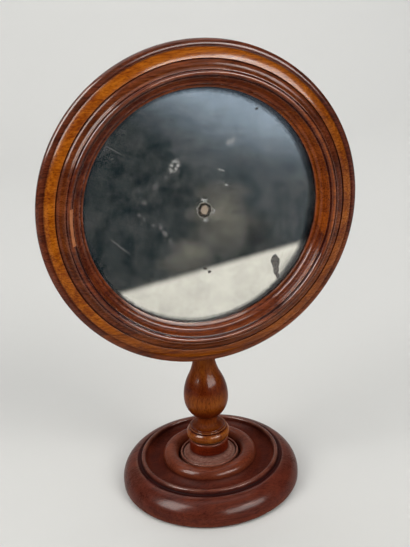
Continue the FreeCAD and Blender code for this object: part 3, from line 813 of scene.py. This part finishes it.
# %% Veil on the glass
wiped_from = (-20, -30, 0)  # mm, the middle of the wiping arcs


def veil_of_dust(tree, place):
    """How much a veil hides: clouds, wiping arcs about one middle, and hairlines four ways."""
    cloud = add(tree, "TexNoise", (place, 1 / 12, 7.0, 0.72))
    middle = add(tree, "VectorMath", (place, wiped_from), **minus)
    axes = add(tree, "SeparateXYZ", (middle,))
    angle = add(tree, "Math", (axes.outputs["Y"], axes.outputs["X"]), operation="ARCTAN2")
    far = add(tree, "VectorMath", (middle,), operation="LENGTH")
    round_it = add(tree, "CombineXYZ", (angle, far))
    swirl = add(tree, "Mapping", {"Vector": round_it, "Scale": (5.0, 1 / 1.6, 1.0)})
    wiped = add(tree, "TexNoise", (swirl, 1.0, 5.0, 0.65))
    veil = add(tree, "Math", (wiped, 0.35, cloud), **times_plus)
    veil = add(tree, "MapRange", (veil, 0.55, 0.95, 0.0, 0.026))
    for turn, long in ((25, 22), (-65, 30), (80, 14), (-35, 6)):
        own = add(tree, "Mapping", {"Vector": place, "Rotation": (0, 0, np.radians(turn))})
        own = add(tree, "Mapping", {"Vector": own, "Scale": (1 / long, 1 / 0.5, 0)})
        hair = add(tree, "TexNoise", (own, 1.0, 2.0))
        hair = add(tree, "MapRange", (hair, 0.6, 0.75, 0.0, 0.03))
        veil = add(tree, "Math", (veil, hair), operation="ADD")
    return veil


# %% Glass
trail_spots = [
    (-20.4, 21.8, 1.3, 1.0, 0), (-26.6, 16.4, 1.9, 1.3, 40), (-34.0, 8.0, 2.0, 1.6, 20),
    (-37.2, 1.4, 1.4, 1.2, 0), (-34.5, -1.0, 1.2, 1.0, 0), (-29.8, -5.4, 1.4, 1.0, 30),
    (-25.3, -7.6, 1.9, 1.2, 120), (-23.5, -11.2, 2.4, 1.3, 115), (-20.6, -16.6, 2.2, 1.1, 110),
    (-18.6, -18.4, 1.5, 1.0, 0),
]
ring_spots = [
    (-15.1, 27.2, 4.2, 2.5, 60), (1.2, 5.6, 2.4, 0.6, 0), (6.2, -1.4, 0.6, 1.6, -20),
    (1.4, -6.4, 1.8, 0.8, 15),
]
ring_holes = [(-15.1, 27.2, 2.5, 1.1, 60)]
scratches = [
    (-50.5, -15.0, 7.4, 0.1, 135), (-48.5, 39.9, 4.6, 0.08, 145), (17.2, 37.2, 1.9, 0.38, 60),
    (19.9, 38.2, 1.9, 0.38, 60), (11.3, 22.2, 0.6, 0.5, 0), (13.3, 21.5, 0.6, 0.5, 0),
    (14.8, 12.8, 0.8, 0.6, 0),
]


def plate_glass():
    """Old plate glass, ground and polished: clear, under a thin mottled veil of dust. On it lie a trail of
    crumbs, two rings of dirt and a few scratches."""
    material, tree, shader = finish_named("plate_glass_old")
    place = plate_place(tree, 0.4, 1.3)
    veil = veil_of_dust(tree, place)
    grit = add(tree, "TexNoise", (place, 1 / 0.7, 3.0))
    grit = add(tree, "MapRange", (grit, 0.48, 0.6))
    trail = add(tree, "Math", (marks(tree, place, trail_spots, (0.4, 1.1)), 0.13), **times)
    whole, holes = marks(tree, place, ring_spots), marks(tree, place, ring_holes)
    rings = add(tree, "Math", (whole, holes), **minus, **held)
    dirt = add(tree, "Math", (rings, 0.34, trail), **times_plus)
    dust = add(tree, "Math", (dirt, grit, veil), **times_plus)
    thin = add(tree, "Math", (marks(tree, place, scratches), 0.22, dust), **times_plus)
    clear = add(tree, "Math", (1.0, thin), **minus, **held)
    join(tree, shader, {"Base Color": colour("#fafbfb"), "Transmission Weight": clear, "Roughness": 0.0,
                        "IOR": 1.52})
    return material


give(plate_glass(), glass)

# %% Silvering
bare_spots = [
    (1.0, -0.5, 4.3, 4.9, 0), (43.5, -38.4, 2.8, 4.8, 5), (43.9, -43.8, 2.0, 3.4, -8),
    (44.8, -47.8, 1.5, 2.0, 10), (51.8, -45.0, 1.3, 3.2, -15), (-0.6, -36.2, 1.5, 0.7, -20),
    (1.9, -38.7, 0.9, 0.9, 0), (35.0, 54.3, 1.2, 0.8, 40),
]
core_spot = [(1.0, -0.4, 2.4, 2.8, 0)]
tarnish_spot = [(53.0, -44.0, 6.0, 12.0, -35)]
# Beyond this disc the silvering's rim is painted black: a painted reflection of the sight ring's edge.
disc_inside_painted_rim = [(-1.5, 0.0, 69.0, 69.0, 0)]


def silvering():
    """Old silvering: a bright metal coat, faintly clouded, with ragged spots where damp has taken it off
    and the brown paint of its back shows. Low on the right it is tarnished, and outside a disc set a
    little to the left its rim is painted black, a painted reflection of the sight ring's dark inner edge."""
    material, tree, shader = finish_named("silvering_foxed")
    place = plate_place(tree, 1.1, 2.0)
    cloud = add(tree, "TexNoise", (place, 1 / 18, 5.0, 0.65))
    bright = add(tree, "ValToRGB", (cloud,), stops=[(0.3, colour("#dad6cc")), (0.66, colour("#f0ece2"))])
    tarnish = marks(tree, place, tarnish_spot, (0.1, 1.2))
    bright = add(tree, "Mix", (tarnish, bright, colour("#909090")), **stain)
    bare = marks(tree, place, bare_spots, (0.9, 1.05))
    crumbs = add(tree, "TexNoise", (place, 1 / 1.1, 2.0))
    paints = [(0.4, colour("#0c0a09")), (0.8, colour("#6a5c4c")), (0.6, colour("#2a211a"))]
    backing = add(tree, "ValToRGB", (crumbs,), stops=paints)
    core = marks(tree, place, core_spot, (0.8, 1.1))
    backing = add(tree, "Mix", (core, backing, colour("#7e7062")), **blend)
    tone = add(tree, "Mix", (bare, bright, backing), **blend)
    # Outside the disc the rim turns black, a painted reflection of the sight ring's dark inner edge.
    inside_painted_rim = marks(tree, place, disc_inside_painted_rim, (0.96, 0.995))
    tone = add(tree, "Mix", (inside_painted_rim, colour("#0b0a0a"), tone), **blend)
    metal = add(tree, "Math", (1.0, bare), **minus, **held)
    haze = add(tree, "MapRange", (cloud, 0.35, 0.75, 0.01, 0.04))
    join(tree, shader, {"Base Color": tone, "Metallic": metal, "Roughness": haze, "Specular IOR Level": 0.1})
    return material


give(silvering(), foil)


# %% [markdown]
# ## Metals, leather, cloth and softwood
#
# The small pieces are brass, steel, hide, wool and a stained softwood board. Each could have a graph of
# its own, but at their size the eye takes in only a mottle and a roughness, so one function serves all.

# %% Plain finishes
def plain_finish(name, low, high, size_mm, roughness, metallic=0.0, grain=(1, 1, 1), relief=0.1):
    """A finish of one mottled colour: noise of a real size turns one colour into the other, and gives
    the roughness and a little relief."""
    material, tree, shader = finish_named(name)
    place = add(tree, "TexCoord").outputs["Object"]
    mottle = wood_noise(tree, place, grain, size_mm, 4.0, 2.3)
    tone = add(tree, "ValToRGB", (mottle,), stops=[(0.32, colour(low)), (0.68, colour(high))])
    rough = add(tree, "MapRange", (mottle, 0.3, 0.7, *roughness))
    bump = add(tree, "Bump", {"Strength": relief, "Distance": 0.3 * MM, "Height": mottle})
    join(tree, shader, {"Base Color": tone, "Roughness": rough, "Normal": bump, "Metallic": metallic,
                        "Specular IOR Level": 0.5 if metallic else 0.1})
    return material


# Turned brass, dulled by years of fingers: warm, with soft glints.
brass = plain_finish("brass_turned_dulled", "#8a6a34", "#c09a52", 3.0, (0.25, 0.45), 1.0)
give(brass, thumb_screw, nut, pivot_washer)
# Turned steel, darkened by age: a grey that hardly shines.
steel = plain_finish("steel_screws_darkened", "#3c3834", "#7a746c", 1.5, (0.35, 0.6), 1.0)
give(steel, board_screws, *(frame["nodes"][n] for n in ("knuckle_screws", "stem_screw", "screw_washer")))
# Oiled hide, cut with a knife: nearly black, with a fine pebble.
hide = plain_finish("hide_leather_oiled", "#26150a", "#3e2616", 0.8, (0.5, 0.7), relief=0.3)
give(hide, leather_ring, friction)
# Woven and raised wool: a flat deep green without any gloss.
wool = plain_finish("wool_baize_green", "#12301a", "#1e4a28", 0.4, (0.85, 0.98), relief=0.5)
give(wool, baize)
# Pressed wool felt: grey-brown and matt.
felt = plain_finish("wool_felt_packing", "#2a2622", "#443e38", 0.5, (0.85, 0.98), relief=0.5)
give(felt, frame["nodes"]["packing_felt"])
# Planed softwood under a brown stain: long pale and dark streaks, half matt.
softwood = plain_finish("softwood_board_stained", "#4a2e18", "#7a5430", 1.8, (0.55, 0.75),
                        grain=(1, 1, 22), relief=0.25)
give(softwood, board)


# %% [markdown]
# ## Floor and background
#
# The floor is a pale sheet that sweeps up into a background, as in a studio. A plane and a wall would
# show a line where they meet, and a bend of large radius doesn't.

# %% Floor and background
def stage_piece(name, points, faces):
    """A mesh that isn't part of the object, with an empty finish of the same name."""
    mesh = bpy.data.meshes.new(name)
    mesh.from_pydata(points, [], faces)
    mesh.polygons.foreach_set("use_smooth", np.ones(len(faces), bool))
    sheet = object_named(name, mesh)
    material, tree, shader = finish_named(name)
    mesh.materials.append(material)
    print(f"{name}: {len(faces)} faces, part of the stage")
    return sheet, tree, shader


floor_level = -0.0002
floor_front, background_top, half_width = -3.0, 3.0, 3.0
bend_start, bend_radius = 1.1, 0.7
bend = np.linspace(0, np.pi / 2, 24)
path_y = np.concatenate([[floor_front], bend_start + bend_radius * np.sin(bend), [bend_start + bend_radius]])
path_z = np.concatenate([[0.0], bend_radius * (1 - np.cos(bend)), [background_top]]) + floor_level
sides = [np.column_stack([np.full(len(path_y), x), path_y, path_z]) for x in (-half_width, half_width)]
row = np.arange(len(path_y) - 1)
floor_faces = np.stack([row, row + 1, row + 1 + len(path_y), row + len(path_y)], 1)
_, tree, shader = stage_piece("pale_floor", np.concatenate(sides), floor_faces.tolist())
join(tree, shader, {"Base Color": colour("#d4d4d2"), "Roughness": 0.9})

# %% [markdown]
# ## The dim room
#
# A mirror shows whatever stands before it. This one looks down past the edge of a pale table into a dim
# room. The room could be built, but soft patches of tone on one glowing sheet are all that the mirror
# shows of it. Only reflections see the sheet.

# %% Sheet that the mirror sees
room_level = 0.0008
corners = ((-0.35, -0.19), (0.65, -0.525), (3.0, -3.0), (-3.0, -3.0))
room, tree, _ = stage_piece("dim_room", [(x, y, room_level) for x, y in corners], [(0, 3, 2, 1)])
for kind in ("visible_camera", "visible_diffuse", "visible_shadow"):
    setattr(room, kind, False)

# %% Tones of the room
edge_slope, edge_at, edge_soft = -0.335, 0.3993, 0.012
place = add(tree, "TexCoord").outputs["Object"]
flat = add(tree, "Mapping", {"Vector": place, "Scale": (1 / MM,) * 3})
blur = ragged(tree, flat, 36, 80)
axes = add(tree, "SeparateXYZ", (blur,))
smooth = {"interpolation_type": "SMOOTHSTEP"}
to_right = add(tree, "MapRange", (axes.outputs["X"], 180, 290), **smooth)
far_right = add(tree, "MapRange", (axes.outputs["X"], 240, 600), **smooth)
to_front = add(tree, "MapRange", (axes.outputs["Y"], -650, -1350), **smooth)
glimmer = add(tree, "Math", (far_right, to_front), **times)
warm = marks(tree, blur, [(198, -655, 190, 42, -74), (104, -500, 70, 30, -74)], (0.1, 1.25))
dark = marks(tree, blur, [(210, -530, 70, 20, -74)], (0.2, 1.25))
shade = colour("#142026")
for part, tint in ((to_right, "#39424a"), (glimmer, "#9cafc6"), (warm, "#6c6b66"), (dark, "#0c1017")):
    shade = add(tree, "Mix", (part, shade, colour(tint)), **blend)
glow = add(tree, "Emission", (shade,))
past_edge = add(tree, "VectorMath", (place, (edge_slope, -1, 0)), operation="DOT_PRODUCT")
solid = add(tree, "MapRange", (past_edge, edge_at - edge_soft, edge_at + edge_soft), **smooth)
clear = add(tree, "BsdfTransparent")
soft_edged = add(tree, "MixShader", (solid, clear, glow))
join(tree, tree.nodes["Material Output"], {"Surface": soft_edged})
print(f"dim_room: {len(tree.nodes)} nodes")


# %% [markdown]
# ## Light
#
# Four soft lamps light the scene: a window at the left, one at the front right, the ceiling and a wash
# on the background. A real window is a hundred times brighter than the cloth it lights. Lamps that
# bright would bleach the wood, so four more light nothing, and only the polish shows them: the two
# panes, a pale wall and the ceiling.

# %% Lamps
def lamp(name, azimuth, elevation, distance, size, power, shade, glint=False, aim=(0, 0, 0.13)):
    """A soft oblong lamp that looks at its aim from a bearing, anticlockwise from +X. It lights
    things, or is only seen as a glint in polish."""
    a, e = np.radians((azimuth, elevation))
    way = Vector((np.cos(a) * np.cos(e), np.sin(a) * np.cos(e), np.sin(e)))
    data = bpy.data.lights.new(name, "AREA")
    data.shape = "RECTANGLE"
    data.size, data.size_y = size
    data.energy = power
    data.color = colour(shade)[:3]
    holder = object_named(name, data)
    holder.location = Vector(aim) + way * distance
    holder.rotation_euler = way.to_track_quat("Z", "Y").to_euler()
    holder.visible_glossy = glint
    holder.visible_diffuse = not glint
    print(f"{name}: {power} W, {'seen only in polish' if glint else 'lights the scene'}")


lamp("window_left", 197, 34, 2.2, (1.2, 1.0), 23.0, "#fffdf8")
lamp("window_front_right", 302, 33, 2.2, (0.9, 0.9), 20.0, "#fffdf8")
lamp("ceiling", 270, 74, 2.2, (2.4, 2.4), 10.5, "#ffffff")
lamp("background_wash", 270, 50, 1.6, (2.4, 0.6), 13.0, "#ffffff", aim=(0.9, 1.7, 0.4))
lamp("window_left_glint", 197, 38, 2.2, (1.0, 1.5), 135.0, "#fffdf8", glint=True)
lamp("window_front_right_glint", 302, 31, 2.2, (0.5, 0.4), 13.0, "#fffdf8", glint=True)
lamp("pale_wall_glint", 297, 22, 2.2, (1.9, 0.8), 105.0, "#fffdf8", glint=True)
lamp("ceiling_glint", 90, 78, 2.2, (2.4, 2.4), 50.0, "#ffffff", glint=True)

# %% World
plain_level, glossy_level, camera_lift = 0.24, 0.06, 0.45  # dim in the polish, pale behind the floor
world = bpy.data.worlds.new("pale_room")
world.use_nodes = True
bpy.context.scene.world = world
tree = world.node_tree
ray = add(tree, "LightPath")
level = add(tree, "MapRange", (ray.outputs["Is Glossy Ray"], 0.0, 1.0, plain_level, glossy_level))
level = add(tree, "Math", (ray.outputs["Is Camera Ray"], camera_lift, level), **times_plus)
join(tree, tree.nodes["Background"], {"Color": colour("#eef0f2"), "Strength": level})
print(f"world: strength {plain_level}, in polish {glossy_level}")

# %% [markdown]
# ## Camera
#
# The camera stands a little left of the mirror and looks down at it. It could be set by eye, but its
# place and turn were worked out from the object's own outlines, so every circle falls where it should.

# %% Camera
camera_place = Vector((-0.10994, -0.43640, 0.31207))
right, up = Vector((0.9604, -0.2729, -0.0562)), Vector((0.1454, 0.3186, 0.9367))
ahead = Vector((0.2377, 0.9078, -0.3456))
camera_data = bpy.data.cameras.new("photograph")
camera_data.sensor_width = 36.0
camera_data.lens = 50.676
camera_data.clip_start = 0.01
camera = object_named("photograph", camera_data)
turn = Matrix((right, up, -ahead)).transposed().to_4x4()
camera.matrix_world = Matrix.Translation(camera_place) @ turn
bpy.context.scene.camera = camera
bpy.context.scene.view_settings.view_transform = "Standard"
print(f"camera: {camera_place.length:.2f} m from the base's middle, lens {camera_data.lens:.1f} mm")
